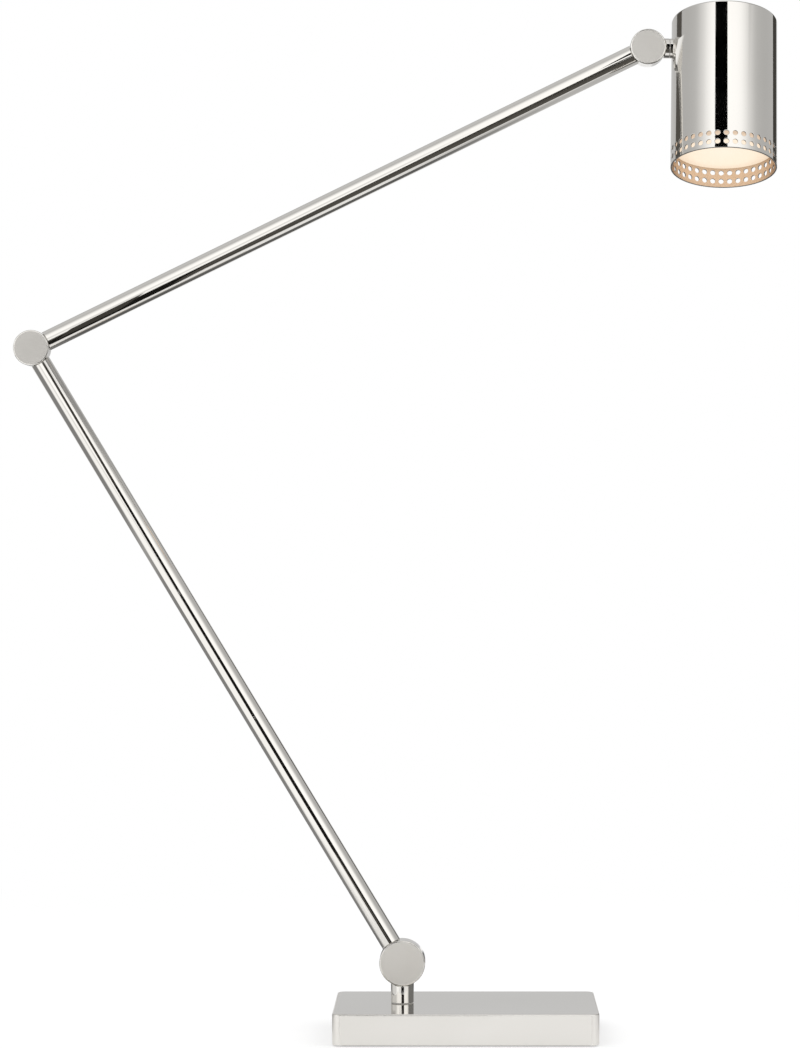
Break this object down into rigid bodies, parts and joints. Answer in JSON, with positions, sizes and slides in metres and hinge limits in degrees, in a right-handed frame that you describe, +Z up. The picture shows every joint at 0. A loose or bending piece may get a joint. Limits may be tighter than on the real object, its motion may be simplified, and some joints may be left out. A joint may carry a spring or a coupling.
{
  "type": "architect lamp",
  "caption": "Jointed-arm desk lamp with a heavy slab base, disc-shaped friction knuckles and a drum-shaped head whose rim is pierced with small round holes.",
  "frame": {"origin": "centre of the base's underside, on the table", "axes": "+Z up, +X along the base's long side towards the head at rest, -Y towards the viewer"},
  "size_m": [0.4847, 0.1055, 0.6524],
  "materials": {
    "polished_metal": "polished nickel plate",
    "cast_weight": "as cast",
    "steel": "zinc plated",
    "brass": "turned",
    "bearing_plastic": "moulded",
    "bush_rubber": "matt",
    "felt": "felt",
    "sink_alloy": "cast",
    "board": "white solder mask",
    "led_phosphor": "phosphor",
    "white_reflector": "white",
    "opal_diffuser": "opal, lit",
    "lead_insulation": "wire insulation"
  },
  "bodies": {
    "base": {"base_cover": "polished_metal", "base_weight": "cast_weight", "base_screws": "steel", "foot_pad": "felt", "cord_bush": "bush_rubber", "swivel_bush": "brass", "thrust_washer": "bearing_plastic", "stop_peg": "steel"},
    "stem": {"stem_post": "polished_metal", "stem_nipple": "brass", "stop_washer": "steel", "stem_wave_washer": "steel", "stem_nut": "brass", "shoulder_rear_half": "polished_metal", "shoulder_friction_washer": "bearing_plastic", "shoulder_rear_cap": "polished_metal"},
    "lower_arm": {"shoulder_front_half": "polished_metal", "shoulder_screw": "steel", "shoulder_spring_washer": "steel", "lower_arm_tube": "polished_metal", "lower_lead": "lead_insulation", "elbow_rear_half": "polished_metal", "elbow_friction_washer": "bearing_plastic", "elbow_rear_cap": "polished_metal"},
    "upper_arm": {"elbow_front_half": "polished_metal", "elbow_screw": "steel", "elbow_spring_washer": "steel", "upper_arm_tube": "polished_metal", "upper_lead": "lead_insulation", "head_rear_half": "polished_metal", "head_friction_washer": "bearing_plastic", "head_rear_cap": "polished_metal"},
    "neck": {"head_front_half": "polished_metal", "head_screw": "steel", "head_spring_washer": "steel", "neck_sleeve": "polished_metal", "roll_washer": "bearing_plastic", "roll_wave_washer": "steel", "roll_nut": "brass"},
    "head": {"outer_saddle": "polished_metal", "inner_saddle": "sink_alloy", "head_bracket": "steel", "bracket_screws": "steel", "heat_sink": "sink_alloy", "led_board": "board", "leds": "led_phosphor", "reflector": "white_reflector", "reflector_screws": "steel", "diffuser": "opal_diffuser", "head_lead": "lead_insulation", "shade": "polished_metal"}
  },
  "joints": [
    {"name": "base_swivel", "type": "hinge", "parent": "base", "child": "stem", "pos_m": [-0.0402, 0, 0], "axis": [0, 0, 1], "range_deg": [-160, 160]},
    {"name": "shoulder", "type": "hinge", "parent": "stem", "child": "lower_arm", "pos_m": [-0.0402, 0, 0.046], "axis": [0, -1, 0], "range_deg": [-55, 30]},
    {"name": "elbow", "type": "hinge", "parent": "lower_arm", "child": "upper_arm", "pos_m": [-0.27533, 0, 0.43577], "axis": [0, -1, 0], "range_deg": [-15, 95]},
    {"name": "head_tilt", "type": "hinge", "parent": "upper_arm", "child": "neck", "pos_m": [0.11565, 0, 0.62646], "axis": [0, -1, 0], "range_deg": [-55, 90]},
    {"name": "head_roll", "type": "hinge", "parent": "neck", "child": "head", "pos_m": [0.11565, 0, 0.62646], "axis": [0.9996, 0, -0.0279], "range_deg": [-74, 106]}
  ]
}
